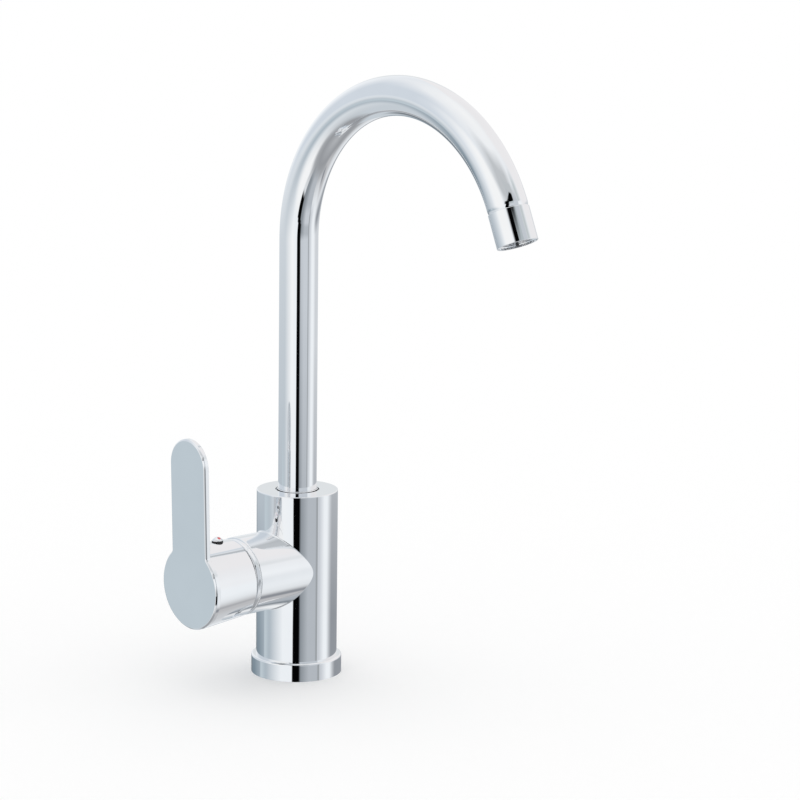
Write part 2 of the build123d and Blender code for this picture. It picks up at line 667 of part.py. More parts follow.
with BuildPart() as indicator_plug:
    with BuildSketch(Plane.XY.offset(plug_low)):
        with Locations((-screw_out, 0)):
            Circle(PLUG_CORE_D / 2)
    extrude(amount=plug_top - plug_low)
    add(plug_dome.part)
    with BuildSketch(Plane.XY.offset(plug_top)):
        with Locations((-screw_out, -MARK_SPACING / 2), (-screw_out, MARK_SPACING / 2)):
            Circle(MARK_D / 2 + PIN_FIT)
    extrude(amount=PLUG_DOME_H, mode=Mode.SUBTRACT)
with BuildPart() as plug_sleeve:
    with BuildSketch(Plane.XY.offset(plug_low)):
        with Locations((-screw_out, 0)):
            Circle(PLUG_D / 2)
            Circle(PLUG_CORE_D / 2 + PIN_FIT, mode=Mode.SUBTRACT)
    extrude(amount=plug_top - plug_low)

fixed_and_inner_pieces = {
    "base_ring": base_ring,
    "base_gasket": base_gasket,
    "body_casting": body_casting,
    "spout_thrust_washer": spout_thrust_washer,
    "spout_glide_ring": spout_glide_ring,
    "spout_locking_screw": spout_locking_screw,
    "spout_tube": spout_tube,
    "spout_foot": spout_foot,
    "spout_o_rings": spout_o_rings,
    "outlet_bush": outlet_bush,
    "aerator_collar": aerator_collar,
    "aerator_gasket": aerator_gasket,
    "aerator_insert": aerator_insert,
    "aerator_screen": aerator_screen,
    "cartridge_base": cartridge_base,
    "cartridge_seals": cartridge_seals,
    "cartridge_housing": cartridge_housing,
    "cartridge_nut": cartridge_nut,
    "fixed_disc": fixed_disc,
    "moving_disc": moving_disc,
    "disc_carrier": disc_carrier,
    "turret": turret,
    "pivot_pin": pivot_pin,
    "dome_ring": dome_ring,
}
# The stem and all that it carries are drawn square to the neck, then lean out to the closed stop
lever_pieces = {
    "stem": stem,
    "lever_handle": lever_handle,
    "lever_screw": lever_screw,
    "indicator_plug": indicator_plug,
    "plug_sleeve": plug_sleeve,
    "hot_mark": hot_mark,
    "cold_mark": cold_mark,
}
lean_axis = Axis((-pivot_out, 0, lever_z), (0, -1, 0))
for piece in lever_pieces.values():
    piece.part = piece.part.rotate(lean_axis, CLOSED_LEAN, transform=True)

os.makedirs("parts", exist_ok=True)
for name, piece in (fixed_and_inner_pieces | lever_pieces).items():
    piece.part.label = name
    export_step(piece.part, f"parts/{name}.step")
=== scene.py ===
import json
from math import asin, atan2, cos, pi, radians, sin, sqrt

import bmesh
import bpy
from mathutils import Matrix, Vector


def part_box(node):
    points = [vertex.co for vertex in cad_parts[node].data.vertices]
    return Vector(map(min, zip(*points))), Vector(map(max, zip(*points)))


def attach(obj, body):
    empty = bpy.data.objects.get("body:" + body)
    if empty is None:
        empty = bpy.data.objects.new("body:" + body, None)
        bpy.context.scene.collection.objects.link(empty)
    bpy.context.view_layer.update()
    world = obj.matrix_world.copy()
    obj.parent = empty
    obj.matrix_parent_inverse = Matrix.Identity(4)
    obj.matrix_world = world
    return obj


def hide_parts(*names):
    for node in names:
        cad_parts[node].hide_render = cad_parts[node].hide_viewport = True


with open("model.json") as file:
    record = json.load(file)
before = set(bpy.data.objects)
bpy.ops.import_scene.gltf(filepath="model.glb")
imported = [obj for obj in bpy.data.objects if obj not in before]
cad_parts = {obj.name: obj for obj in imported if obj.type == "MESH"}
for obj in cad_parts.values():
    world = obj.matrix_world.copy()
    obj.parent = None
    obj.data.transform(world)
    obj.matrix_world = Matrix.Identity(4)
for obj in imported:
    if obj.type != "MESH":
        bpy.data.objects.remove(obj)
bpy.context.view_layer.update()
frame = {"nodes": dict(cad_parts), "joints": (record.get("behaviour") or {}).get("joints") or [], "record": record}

# Single-lever kitchen mixer tap in polished chrome, in metres, in the frame of its solids:
# +Z up from the worktop, the spout along -Y, the lever's own axis along -X.
# Distances called "out" run along the lever's axis from the tap's upright axis.

MM = 0.001

# Base ring and body
BASE_ROUND = 1.2 * MM
RING_BORE_R = 20.1 * MM
SEAL_GROOVE_OUT_R = 24.6 * MM
SEAL_GROOVE_IN_R = 21.9 * MM
SEAL_GROOVE_H = 2.0 * MM
SPIGOT_R = 20.0 * MM
BODY_ROUND = 0.6 * MM
CAVITY_R = 16.5 * MM
CAVITY_H = 24.0 * MM
SOCKET_R = 12.5 * MM
SOCKET_FLOOR = 84.0 * MM
SOCKET_MOUTH = 0.2 * MM
NECK_R = 22.25 * MM
NECK_ROUND = 0.6 * MM
NECK_ROOT_ROUND = 1.0 * MM
ROOT_SINK = 0.02 * MM     # how far the root's hollow dips under the neck and the barrel
ROOT_DEPTH = 0.5 * MM     # how deep its hidden edge lies
SEAT_OUT = 4.25 * MM
CARTRIDGE_BORE_R = 17.6 * MM
NUT_BORE_R = 19.0 * MM
NUT_BORE_H = 6.6 * MM
LOCK_HOLE_R = 2.5 * MM

# Spout and its outlet
TUBE_WALL = 1.2 * MM
BEND_R = 87.5 * MM
BEND_ANGLE = radians(156.75)
CROWN_LENGTH = 2.8 * MM   # the tube's end draws in over this length
CROWN_DROP = 0.35 * MM
CROWN_POWER = 3           # the drop starts slowly and ends steep
SEAM_GAP = 0.3 * MM
COLLAR_R = 11.15 * MM
COLLAR_LENGTH = 18.7 * MM
COLLAR_BORE_R = 9.65 * MM
COLLAR_LIP_R = 8.9 * MM
COLLAR_LIP_H = 2.0 * MM
COLLAR_MOUTH_R = 10.3 * MM
COLLAR_MOUTH_DEPTH = 1.4 * MM
COLLAR_ROUND = 0.3 * MM
GLIDE_LIP = 0.5 * MM
GLIDE_DROP = 3.5 * MM
GLIDE_ROUND = 0.35 * MM

# Dome ring and lever
DOME_H = 2.5 * MM
DOME_R = 21.6 * MM
DOME_TAPER = 0.4 * MM
DOME_HOLE_R = 14.6 * MM
DOME_ROUND = 1.0 * MM
DOME_SPIGOT_R = 15.6 * MM
DOME_SPIGOT_H = 2.9 * MM
CLOSED_LEAN = radians(1.3)
HUB_GAP = 3.5 * MM
HUB_RIM_R = 22.25 * MM
HUB_FRONT_R = 24.0 * MM
HUB_LENGTH = 27.4 * MM
HUB_WALL = 2.0 * MM
HUB_RIM_ROUND = 0.3 * MM
HUB_SINK = 0.05 * MM      # the hub's end stays this far inside the paddle's plate
PADDLE_T = 3.25 * MM
PADDLE_W = 30.5 * MM
PADDLE_TIP = 85.0 * MM
FRONT_CHAMFER = 0.85 * MM
FRONT_SOFT = 0.2 * MM     # softening of the chamfer's two edges
BACK_ROUND = 0.4 * MM
SHOULDER_ROUND = 2.5 * MM
BOSS_R = 8.5 * MM
BOSS_SET_BACK = 6.0 * MM
STEM_HOLE = 8.2 * MM
STEM_HOLE_H = 10.3 * MM
SCREW_IN = 4.0 * MM
SCREW_HOLE_R = 2.5 * MM
PLUG_R = 3.2 * MM
PLUG_CORE_R = 2.5 * MM
PLUG_PROUD = 0.8 * MM
PLUG_DOME_H = 2.0 * MM
PLUG_ROUND = 0.12 * MM
PLUG_FIT = 0.1 * MM
MARK_R = 0.9 * MM
MARK_OUT = 1.4 * MM
MARK_FIT = 0.05 * MM

# How finely round shapes are divided
TURN_STEPS = 160
ROUND_STEPS = 6
TUBE_SIDES = 128
BEND_STEPS = 120
CROWN_STEPS = 8
DOME_STEPS = 12
ARC_STEP = radians(2.5)
MERGE = 0.0005 * MM
SHARP_ANGLE = radians(35)
ROUND_LEAN = 0.1          # largest axial share of a normal on a cylinder or a slim cone
ROUND_MATCH = 0.998       # how nearly a face's normal has to point away from an axis

# Places from the frame
base_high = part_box("base_ring")[1]
body_low, body_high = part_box("body_casting")
tube_low, tube_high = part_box("spout_tube")
glide_low, glide_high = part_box("spout_glide_ring")
lock_low, lock_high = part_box("spout_locking_screw")
pivot = next(Vector(joint["pos_m"]) for joint in frame["joints"] if joint["name"] == "lever_lift")

body_r = body_high.x
neck_end = -body_low.x
tube_r = tube_high.x
bend_z = tube_high.z - tube_r - BEND_R
lock_z = (lock_low.z + lock_high.z) / 2
hub_rim = neck_end + HUB_GAP
plate_back = hub_rim + HUB_LENGTH
boss_start = hub_rim + BOSS_SET_BACK
screw_out = boss_start + SCREW_IN
hub_r_at_screw = HUB_RIM_R + (HUB_FRONT_R - HUB_RIM_R) * (screw_out - hub_rim) / HUB_LENGTH
plug_top = hub_r_at_screw + PLUG_PROUD
plug_low = hub_r_at_screw - HUB_WALL

# Frames of the pieces' own axes: local Z runs along the axis
UPRIGHT = Matrix.Identity(4)
LEVER = Matrix(((0, 0, -1, 0), (-1, 0, 0, 0), (0, 1, 0, pivot.z), (0, 0, 0, 1)))
LEAN = (
    Matrix.Translation(pivot)
    @ Matrix.Rotation(CLOSED_LEAN, 4, Vector((0, -1, 0)))
    @ Matrix.Translation(-pivot)
)
PLUG = Matrix.Translation((-screw_out, 0, pivot.z))
LOCK = Matrix.Translation((0, 0, lock_z)) @ Matrix.Rotation(-pi / 2, 4, "X")
outlet = Vector((0, BEND_R * (cos(BEND_ANGLE) - 1), bend_z + BEND_R * sin(BEND_ANGLE)))
flow = Vector((0, -sin(BEND_ANGLE), cos(BEND_ANGLE)))
OUTLET = Matrix.Translation(outlet) @ Vector((0, 0, 1)).rotation_difference(flow).to_matrix().to_4x4()


# Shaping

def turned(profile, place=UPRIGHT):
    """Turns a closed section about local Z. Its corners are (radius, height, rounding)."""
    bm = bmesh.new()
    corners = [bm.verts.new((radius, 0, height)) for radius, height, _ in profile]
    bm.faces.new(corners)
    for corner, (_, _, rounding) in zip(corners, profile):
        if rounding:
            bmesh.ops.bevel(
                bm, geom=[corner], offset=rounding, offset_type="OFFSET", segments=ROUND_STEPS,
                profile=0.5, affect="VERTICES", material=-1,
            )
    bmesh.ops.delete(bm, geom=bm.faces[:], context="FACES_ONLY")
    bmesh.ops.spin(
        bm, geom=bm.verts[:] + bm.edges[:], cent=(0, 0, 0), axis=(0, 0, 1), angle=2 * pi,
        steps=TURN_STEPS, use_merge=True,
    )
    return closed(bm, place)


def closed(bm, place=UPRIGHT):
    """Merges doubled points, turns the faces outwards and puts the shape in its place."""
    bmesh.ops.remove_doubles(bm, verts=bm.verts[:], dist=MERGE)
    bmesh.ops.dissolve_degenerate(bm, edges=bm.edges[:], dist=MERGE)
    bmesh.ops.recalc_face_normals(bm, faces=bm.faces[:])
    bmesh.ops.transform(bm, matrix=place, verts=bm.verts[:])
    return bm


def softened(bm, edges, width, steps):
    """Bevels edges, flat in one step or round in several, and gives the new faces."""
    return bmesh.ops.bevel(
        bm, geom=edges, offset=width, offset_type="OFFSET", segments=steps,
        profile=0.5, affect="EDGES", material=-1,
    )["faces"]


def only(kind, items):
    """The vertices, the edges or the faces among what an operator gives back."""
    return [item for item in items if isinstance(item, kind)]


def plain_object(name, bm):
    """An object of a bmesh, which is used up."""
    mesh = bpy.data.meshes.new(name)
    bm.to_mesh(mesh)
    bm.free()
    made = bpy.data.objects.new(name, mesh)
    bpy.context.scene.collection.objects.link(made)
    return made


def combined(first, second, operation):
    """Joins a second closed shape to the first, or cuts it out of it."""
    stock, tool = plain_object("stock", first), plain_object("tool", second)
    boolean = stock.modifiers.new("combine", "BOOLEAN")
    boolean.operation, boolean.solver, boolean.object = operation, "EXACT", tool
    result = bpy.data.meshes.new_from_object(stock.evaluated_get(bpy.context.evaluated_depsgraph_get()))
    bm = bmesh.new()
    bm.from_mesh(result)
    bpy.data.meshes.remove(result)
    for used in (stock, tool):
        bpy.data.meshes.remove(used.data)
    return closed(bm)


def true_normals(made, axes):
    """Gives the faces that are round about one of the axes the exact normals of their cylinder or cone."""
    shown = made.evaluated_get(bpy.context.evaluated_depsgraph_get()).to_mesh()
    normals = [corner.vector.copy() for corner in shown.corner_normals]
    made.modifiers.clear()
    mesh = made.data
    for face in mesh.polygons:
        for place in axes:
            origin, direction = place.to_translation(), place.to_3x3().col[2].normalized()
            along = face.normal.dot(direction)
            middle = face.center - origin
            side = face.normal.dot((middle - direction * middle.dot(direction)).normalized())
            if abs(along) < ROUND_LEAN and side**2 + along**2 > ROUND_MATCH:
                for corner in face.loop_indices:
                    arm = mesh.vertices[mesh.loops[corner].vertex_index].co - origin
                    radial = (arm - direction * arm.dot(direction)).normalized()
                    normals[corner] = (radial * side + direction * along).normalized()
                break
    mesh.normals_split_custom_set(normals)


def piece(name, bm, slot, body, node, axes=()):
    """A finished piece that rides on a body, stands for a CAD node and takes its slot's finish."""
    made = plain_object(name, bm)
    made.data.materials.append(finishes[slot])
    made.data.shade_smooth()
    made.data.set_sharp_from_angle(angle=SHARP_ANGLE)
    even = made.modifiers.new("even_shading", "WEIGHTED_NORMAL")
    even.keep_sharp = True
    if axes:
        true_normals(made, axes)
    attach(made, body)
    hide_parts(node)


def arc(centre, radius, start, end):
    """Points of an arc, both ends included."""
    steps = max(2, round(abs(end - start) / ARC_STEP))
    angles = [start + (end - start) * step / steps for step in range(steps + 1)]
    return [(centre[0] + radius * cos(angle), centre[1] + radius * sin(angle)) for angle in angles]


# Finishes

PATCH_LOW, PATCH_HIGH = 0.3, 0.7    # span of the noise over which patches change


def node(tree, kind, values=None, **settings):
    """Adds a node with its settings, and with values for some of its inputs."""
    made = tree.nodes.new(kind)
    for key, value in settings.items():
        setattr(made, key, value)
    for key, value in (values or {}).items():
        made.inputs[key].default_value = value
    return made


def new_group(name, inputs, outputs):
    """A node group of plain numbers: its tree, its input node and its output node."""
    tree = bpy.data.node_groups.new(name, "ShaderNodeTree")
    for label, value in inputs.items():
        socket = tree.interface.new_socket(label, in_out="INPUT", socket_type="NodeSocketFloat")
        socket.default_value = value
    for label in outputs:
        tree.interface.new_socket(label, in_out="OUTPUT", socket_type="NodeSocketFloat")
    return tree, tree.nodes.new("NodeGroupInput"), tree.nodes.new("NodeGroupOutput")


def surface_grain_group():
    """Fine relief, broad patches, and a roughness that wanders with the patches."""
    tree, given, out = new_group(
        "surface_grain",
        {"Grain scale": 2000.0, "Patch scale": 60.0, "Smooth": 0.2, "Rough": 0.3},
        ["Relief", "Patches", "Roughness"],
    )
    place = node(tree, "ShaderNodeTexCoord")
    fine = node(tree, "ShaderNodeTexNoise", {"Detail": 3.0, "Roughness": 0.6})
    broad = node(tree, "ShaderNodeTexNoise", {"Detail": 4.0, "Roughness": 0.55})
    spread = node(tree, "ShaderNodeMapRange", {"From Min": PATCH_LOW, "From Max": PATCH_HIGH})
    for texture, scale in ((fine, "Grain scale"), (broad, "Patch scale")):
        tree.links.new(place.outputs["Object"], texture.inputs["Vector"])
        tree.links.new(given.outputs[scale], texture.inputs["Scale"])
    tree.links.new(broad.outputs["Fac"], spread.inputs["Value"])
    tree.links.new(given.outputs["Smooth"], spread.inputs["To Min"])
    tree.links.new(given.outputs["Rough"], spread.inputs["To Max"])
    tree.links.new(fine.outputs["Fac"], out.inputs["Relief"])
    tree.links.new(broad.outputs["Fac"], out.inputs["Patches"])
    tree.links.new(spread.outputs["Result"], out.inputs["Roughness"])
    return tree


def finish(name, dark, light, grain, patch, smooth, rough, relief, strength, metallic=0.0, coat=0.0):
    """A material whose colour and roughness wander with its patches, over a fine relief."""
    material = bpy.data.materials.new(name)
    material.use_nodes = True
    tree = material.node_tree
    shader = tree.nodes["Principled BSDF"]
    shader.inputs["Metallic"].default_value = metallic
    shader.inputs["Coat Weight"].default_value = coat
    surface = node(
        tree, "ShaderNodeGroup",
        {"Grain scale": grain, "Patch scale": patch, "Smooth": smooth, "Rough": rough},
        node_tree=surface_grain,
    )
    colours = node(tree, "ShaderNodeValToRGB")
    first, last = colours.color_ramp.elements
    first.position, last.position = PATCH_LOW, PATCH_HIGH
    first.color, last.color = (*dark, 1), (*light, 1)
    bump = node(tree, "ShaderNodeBump", {"Strength": strength, "Distance": relief})
    tree.links.new(surface.outputs["Patches"], colours.inputs["Fac"])
    tree.links.new(colours.outputs["Color"], shader.inputs["Base Color"])
    tree.links.new(surface.outputs["Roughness"], shader.inputs["Roughness"])
    tree.links.new(surface.outputs["Relief"], bump.inputs["Height"])
    tree.links.new(bump.outputs["Normal"], shader.inputs["Normal"])
    return material


surface_grain = surface_grain_group()
finishes = {
    "chrome": finish(
        "polished_chrome", (0.885, 0.895, 0.905), (0.905, 0.915, 0.925), grain=350, patch=45,
        smooth=0.015, rough=0.04, relief=0.003 * MM, strength=0.15, metallic=1.0,
    ),
    "brass": finish(
        "turned_brass", (0.62, 0.45, 0.20), (0.74, 0.57, 0.29), grain=3200, patch=160,
        smooth=0.18, rough=0.34, relief=0.02 * MM, strength=0.3, metallic=1.0,
    ),
    "steel": finish(
        "bright_steel", (0.52, 0.52, 0.53), (0.64, 0.64, 0.65), grain=3600, patch=220,
        smooth=0.16, rough=0.30, relief=0.02 * MM, strength=0.3, metallic=1.0,
    ),
    "white_acetal": finish(
        "white_acetal", (0.80, 0.80, 0.78), (0.88, 0.88, 0.86), grain=2600, patch=120,
        smooth=0.34, rough=0.46, relief=0.02 * MM, strength=0.3,
    ),
    "grey_plastic": finish(
        "grey_plastic", (0.29, 0.31, 0.33), (0.36, 0.38, 0.40), grain=2600, patch=120,
        smooth=0.38, rough=0.52, relief=0.02 * MM, strength=0.35,
    ),
    "seal_rubber": finish(
        "seal_rubber", (0.022, 0.022, 0.023), (0.04, 0.04, 0.042), grain=3400, patch=200,
        smooth=0.6, rough=0.8, relief=0.03 * MM, strength=0.4,
    ),
    "alumina": finish(
        "lapped_alumina", (0.84, 0.83, 0.80), (0.90, 0.89, 0.86), grain=4200, patch=180,
        smooth=0.12, rough=0.22, relief=0.01 * MM, strength=0.2,
    ),
    "hot_red": finish(
        "hot_red", (0.62, 0.045, 0.05), (0.76, 0.075, 0.085), grain=3000, patch=500,
        smooth=0.12, rough=0.22, relief=0.01 * MM, strength=0.2, coat=0.5,
    ),
    "cold_blue": finish(
        "cold_blue", (0.035, 0.14, 0.54), (0.06, 0.20, 0.66), grain=3000, patch=500,
        smooth=0.12, rough=0.22, relief=0.01 * MM, strength=0.2, coat=0.5,
    ),
}
for part in frame["record"]["subparts"]:
    for surface_slot in frame["nodes"][part["node"]].material_slots:
        surface_slot.material = finishes[part["material_slot"]]


# Base ring and body

def base_ring():
    """Ring that sits on the worktop, grooved below for its seal."""
    return turned([
        (RING_BORE_R, 0, 0), (SEAL_GROOVE_IN_R, 0, 0), (SEAL_GROOVE_IN_R, SEAL_GROOVE_H, 0),
        (SEAL_GROOVE_OUT_R, SEAL_GROOVE_H, 0), (SEAL_GROOVE_OUT_R, 0, 0), (base_high.x, 0, 0),
        (base_high.x, base_high.z, BASE_ROUND), (RING_BORE_R, base_high.z, 0),
    ])


def neck_root():
    """Hollow rounding between the neck and the barrel, a closed wedge that lies a little inside both."""
    neck_reach = NECK_R + NECK_ROOT_ROUND - ROOT_SINK
    body_reach = body_r + NECK_ROOT_ROUND - ROOT_SINK
    bm = bmesh.new()
    loops = [[] for _ in range(ROUND_STEPS + 2)]
    for place in range(TURN_STEPS):
        turn = 2 * pi * place / TURN_STEPS
        across, up = sin(turn), cos(turn)
        side = neck_reach * across
        out = sqrt(body_reach**2 - side**2)
        middle = Vector((-out, side, pivot.z + neck_reach * up))
        to_neck = Vector((0, -across, -up))
        to_body = Vector((out, -side, 0)) / body_reach
        for step in range(ROUND_STEPS + 1):
            arm = to_neck.slerp(to_body, step / ROUND_STEPS) * NECK_ROOT_ROUND
            loops[step].append(bm.verts.new(middle + arm))
        deep = (NECK_R - ROOT_DEPTH) * across
        deep_out = sqrt((body_r - ROOT_DEPTH)**2 - deep**2)
        loops[-1].append(bm.verts.new((-deep_out, deep, pivot.z + (NECK_R - ROOT_DEPTH) * up)))
    rings = [
        [bm.edges.new((loop[place - 1], loop[place])) for place in range(TURN_STEPS)]
        for loop in loops
    ]
    for ring, following in zip(rings, rings[1:] + rings[:1]):
        bmesh.ops.bridge_loops(bm, edges=ring + following)
    return closed(bm)


def body_casting():
    """Upright barrel with its side neck, bored for hoses, spout, cartridge and locking screw."""
    barrel = turned([
        (0, CAVITY_H, 0), (CAVITY_R, CAVITY_H, 0), (CAVITY_R, 0, 0), (SPIGOT_R, 0, 0),
        (SPIGOT_R, base_high.z, 0), (body_r, base_high.z, 0), (body_r, body_high.z, BODY_ROUND),
        (SOCKET_R, body_high.z, SOCKET_MOUTH), (SOCKET_R, SOCKET_FLOOR, 0), (0, SOCKET_FLOOR, 0),
    ])
    neck = turned([(0, 0, 0), (NECK_R, 0, 0), (NECK_R, neck_end, NECK_ROUND), (0, neck_end, 0)], LEVER)
    past_end = neck_end + NUT_BORE_H
    bore = turned([
        (0, SEAT_OUT, 0), (CARTRIDGE_BORE_R, SEAT_OUT, 0), (CARTRIDGE_BORE_R, neck_end - NUT_BORE_H, 0),
        (NUT_BORE_R, neck_end - NUT_BORE_H, 0), (NUT_BORE_R, past_end, 0), (0, past_end, 0),
    ], LEVER)
    lock_hole = turned([
        (0, SOCKET_R - LOCK_HOLE_R, 0), (LOCK_HOLE_R, SOCKET_R - LOCK_HOLE_R, 0),
        (LOCK_HOLE_R, 2 * body_r, 0), (0, 2 * body_r, 0),
    ], LOCK)
    bm = combined(barrel, neck, "UNION")
    bm = combined(bm, neck_root(), "UNION")
    bm = combined(bm, bore, "DIFFERENCE")
    return combined(bm, lock_hole, "DIFFERENCE")


piece("polished_base_ring", base_ring(), "chrome", "fixed_body", "base_ring")
piece("polished_body", body_casting(), "chrome", "fixed_body", "body_casting", axes=(UPRIGHT, LEVER, LOCK))


# Spout

def glide_ring():
    """Bearing ring round the tube. Its shoulder lies below the body's top, and its thin lip stands proud."""
    inner, outer = tube_r + (SOCKET_R - glide_high.x), glide_high.x
    shoulder = body_high.z - GLIDE_DROP
    return turned([
        (inner, glide_low.z, 0), (outer, glide_low.z, 0), (outer, shoulder, 0),
        (inner + GLIDE_LIP, shoulder, 0), (inner + GLIDE_LIP, glide_high.z, GLIDE_ROUND),
        (inner, glide_high.z, 0),
    ])


def spout_tube():
    """Straight riser and one long bend of thin tube, open at both ends."""
    bm = bmesh.new()
    for radius in (tube_r, tube_r - TUBE_WALL):
        bmesh.ops.create_circle(
            bm, segments=TUBE_SIDES, radius=radius, matrix=Matrix.Translation((0, 0, tube_low.z))
        )
    foot = bm.edges[:]
    riser = bmesh.ops.extrude_edge_only(bm, edges=foot)["geom"]
    top = [item for item in riser if not isinstance(item, bmesh.types.BMFace)]
    bmesh.ops.translate(bm, vec=(0, 0, bend_z - tube_low.z), verts=only(bmesh.types.BMVert, top))
    crown_start = BEND_ANGLE - CROWN_LENGTH / BEND_R
    rim = top
    for angle, steps in ((crown_start, BEND_STEPS), (BEND_ANGLE - crown_start, CROWN_STEPS)):
        rim = bmesh.ops.spin(
            bm, geom=rim, cent=(0, -BEND_R, bend_z), axis=(1, 0, 0), angle=angle, steps=steps
        )["geom_last"]
    for vert in bm.verts:
        angle = atan2(vert.co.z - bend_z, vert.co.y + BEND_R)
        share = (angle - crown_start) / (BEND_ANGLE - crown_start)
        middle = Vector((0, BEND_R * (cos(angle) - 1), bend_z + BEND_R * sin(angle)))
        if share > 0 and (vert.co - middle).length > tube_r - TUBE_WALL / 2:
            vert.co -= (vert.co - middle).normalized() * CROWN_DROP * share**CROWN_POWER
    for rims in (foot, only(bmesh.types.BMEdge, rim)):
        bmesh.ops.bridge_loops(bm, edges=rims)
    return closed(bm)


def aerator_collar():
    """Sleeve at the outlet, with a lip that holds the aerator a little way behind its mouth."""
    end = SEAM_GAP + COLLAR_LENGTH
    ledge = end - COLLAR_MOUTH_DEPTH
    return turned([
        (COLLAR_BORE_R, SEAM_GAP, 0), (COLLAR_R, SEAM_GAP, COLLAR_ROUND), (COLLAR_R, end, COLLAR_ROUND),
        (COLLAR_MOUTH_R, end, 0), (COLLAR_MOUTH_R, ledge, 0), (COLLAR_LIP_R, ledge, 0),
        (COLLAR_LIP_R, end - COLLAR_LIP_H, 0), (COLLAR_BORE_R, end - COLLAR_LIP_H, 0),
    ], OUTLET)


piece("polished_glide_ring", glide_ring(), "chrome", "fixed_body", "spout_glide_ring")
piece("polished_spout", spout_tube(), "chrome", "swivel_spout", "spout_tube")
piece("polished_collar", aerator_collar(), "chrome", "swivel_spout", "aerator_collar")


# Dome ring and lever

def dome_ring():
    """Tapered ring that shows between the neck and the lever's hub."""
    end = neck_end + DOME_H
    return turned([
        (DOME_HOLE_R, neck_end - DOME_SPIGOT_H, 0), (DOME_SPIGOT_R, neck_end - DOME_SPIGOT_H, 0),
        (DOME_SPIGOT_R, neck_end, 0), (DOME_R, neck_end, 0),
        (DOME_R - DOME_TAPER, end, DOME_ROUND), (DOME_HOLE_R, end, DOME_ROUND),
    ], LEVER)


def paddle_plate():
    """Flat plate of the lever: a disc and a round-ended paddle, joined by hollow shoulders."""
    half = PADDLE_W / 2
    shoulder_x = half + SHOULDER_ROUND
    shoulder_y = sqrt((HUB_FRONT_R + SHOULDER_ROUND)**2 - shoulder_x**2)
    lean = atan2(shoulder_y, shoulder_x)
    outline = arc((0, 0), HUB_FRONT_R, pi - lean, 2 * pi + lean)[:-1]
    outline += arc((shoulder_x, shoulder_y), SHOULDER_ROUND, pi + lean, pi)
    outline += arc((0, PADDLE_TIP - half), half, 0, pi)
    outline += arc((-shoulder_x, shoulder_y), SHOULDER_ROUND, 0, -lean)[:-1]
    bm = bmesh.new()
    back = bm.faces.new([bm.verts.new((x, y, plate_back)) for x, y in outline])
    raised = bmesh.ops.extrude_face_region(bm, geom=[back], use_keep_orig=True)["geom"]
    bmesh.ops.translate(bm, vec=(0, 0, PADDLE_T), verts=only(bmesh.types.BMVert, raised))
    front = only(bmesh.types.BMFace, raised)[0]
    softened(bm, back.edges[:], BACK_ROUND, ROUND_STEPS)
    slopes = softened(bm, front.edges[:], FRONT_CHAMFER, 1)
    rims = [
        edge for face in slopes for edge in face.edges
        if sum(other in slopes for other in edge.link_faces) == 1
    ]
    softened(bm, rims, FRONT_SOFT, ROUND_STEPS)
    return closed(bm, LEVER)


def lever_hub():
    """Conical cup with the boss that grips the stem. Its front end lies inside the paddle's plate."""
    front_r = HUB_FRONT_R - HUB_SINK
    floor = plate_back + HUB_SINK
    end = plate_back + PADDLE_T / 2
    return turned([
        (HUB_RIM_R - HUB_WALL, hub_rim, 0), (HUB_RIM_R, hub_rim, HUB_RIM_ROUND), (front_r, plate_back, 0),
        (front_r, end, 0), (0, end, 0), (0, boss_start, 0), (BOSS_R, boss_start, 0), (BOSS_R, floor, 0),
        (front_r - HUB_WALL, floor, 0),
    ], LEVER)


def lever_handle():
    """Hub and paddle in one, bored for the stem, the set screw and the plug."""
    stem_hole = bmesh.new()
    bmesh.ops.create_cube(stem_hole, size=1)
    bmesh.ops.scale(stem_hole, vec=(STEM_HOLE, STEM_HOLE, STEM_HOLE_H), verts=stem_hole.verts[:])
    middle = boss_start + STEM_HOLE_H / 2 - HUB_SINK
    bmesh.ops.translate(stem_hole, vec=(0, 0, middle), verts=stem_hole.verts[:])
    bmesh.ops.transform(stem_hole, matrix=LEVER, verts=stem_hole.verts[:])
    plug_r = PLUG_R + PLUG_FIT
    seat = BOSS_R + PLUG_FIT
    screw_hole = turned([
        (0, 0, 0), (SCREW_HOLE_R, 0, 0), (SCREW_HOLE_R, seat, 0), (plug_r, seat, 0),
        (plug_r, 2 * HUB_FRONT_R, 0), (0, 2 * HUB_FRONT_R, 0),
    ], PLUG)
    bm = combined(paddle_plate(), lever_hub(), "UNION")
    bm = combined(bm, stem_hole, "DIFFERENCE")
    return closed(combined(bm, screw_hole, "DIFFERENCE"), LEAN)


def plug_shape():
    """Domed cap on a slimmer core, upright over the set screw."""
    ball_r = (PLUG_R**2 + PLUG_DOME_H**2) / (2 * PLUG_DOME_H)
    middle = plug_top + PLUG_DOME_H - ball_r
    rim_angle = asin(PLUG_R / ball_r)
    angles = [rim_angle * step / DOME_STEPS for step in range(DOME_STEPS, -1, -1)]
    dome = [(ball_r * sin(angle), middle + ball_r * cos(angle), 0) for angle in angles]
    return turned([
        (0, plug_low, 0), (PLUG_CORE_R, plug_low, 0), (PLUG_CORE_R, plug_top, 0),
        (PLUG_R, plug_top, PLUG_ROUND), *dome[1:-1], (0, plug_top + PLUG_DOME_H, 0),
    ])


def plug_sleeve():
    """Rubber sleeve round the plug's core, which fills the hole below the cap. The black band it shows under the
    cap is partly painted shade.
    """
    return turned([
        (PLUG_CORE_R + MARK_FIT, plug_low, 0), (PLUG_R, plug_low, 0), (PLUG_R, plug_top, 0),
        (PLUG_CORE_R + MARK_FIT, plug_top, 0),
    ], LEAN @ PLUG)


def dot_pin(side, radius):
    """Upright pin through the cap, where a dot is let in."""
    top = plug_top + PLUG_R
    return turned(
        [(0, plug_top, 0), (radius, plug_top, 0), (radius, top, 0), (0, top, 0)],
        Matrix.Translation((0, side * MARK_OUT, 0)),
    )


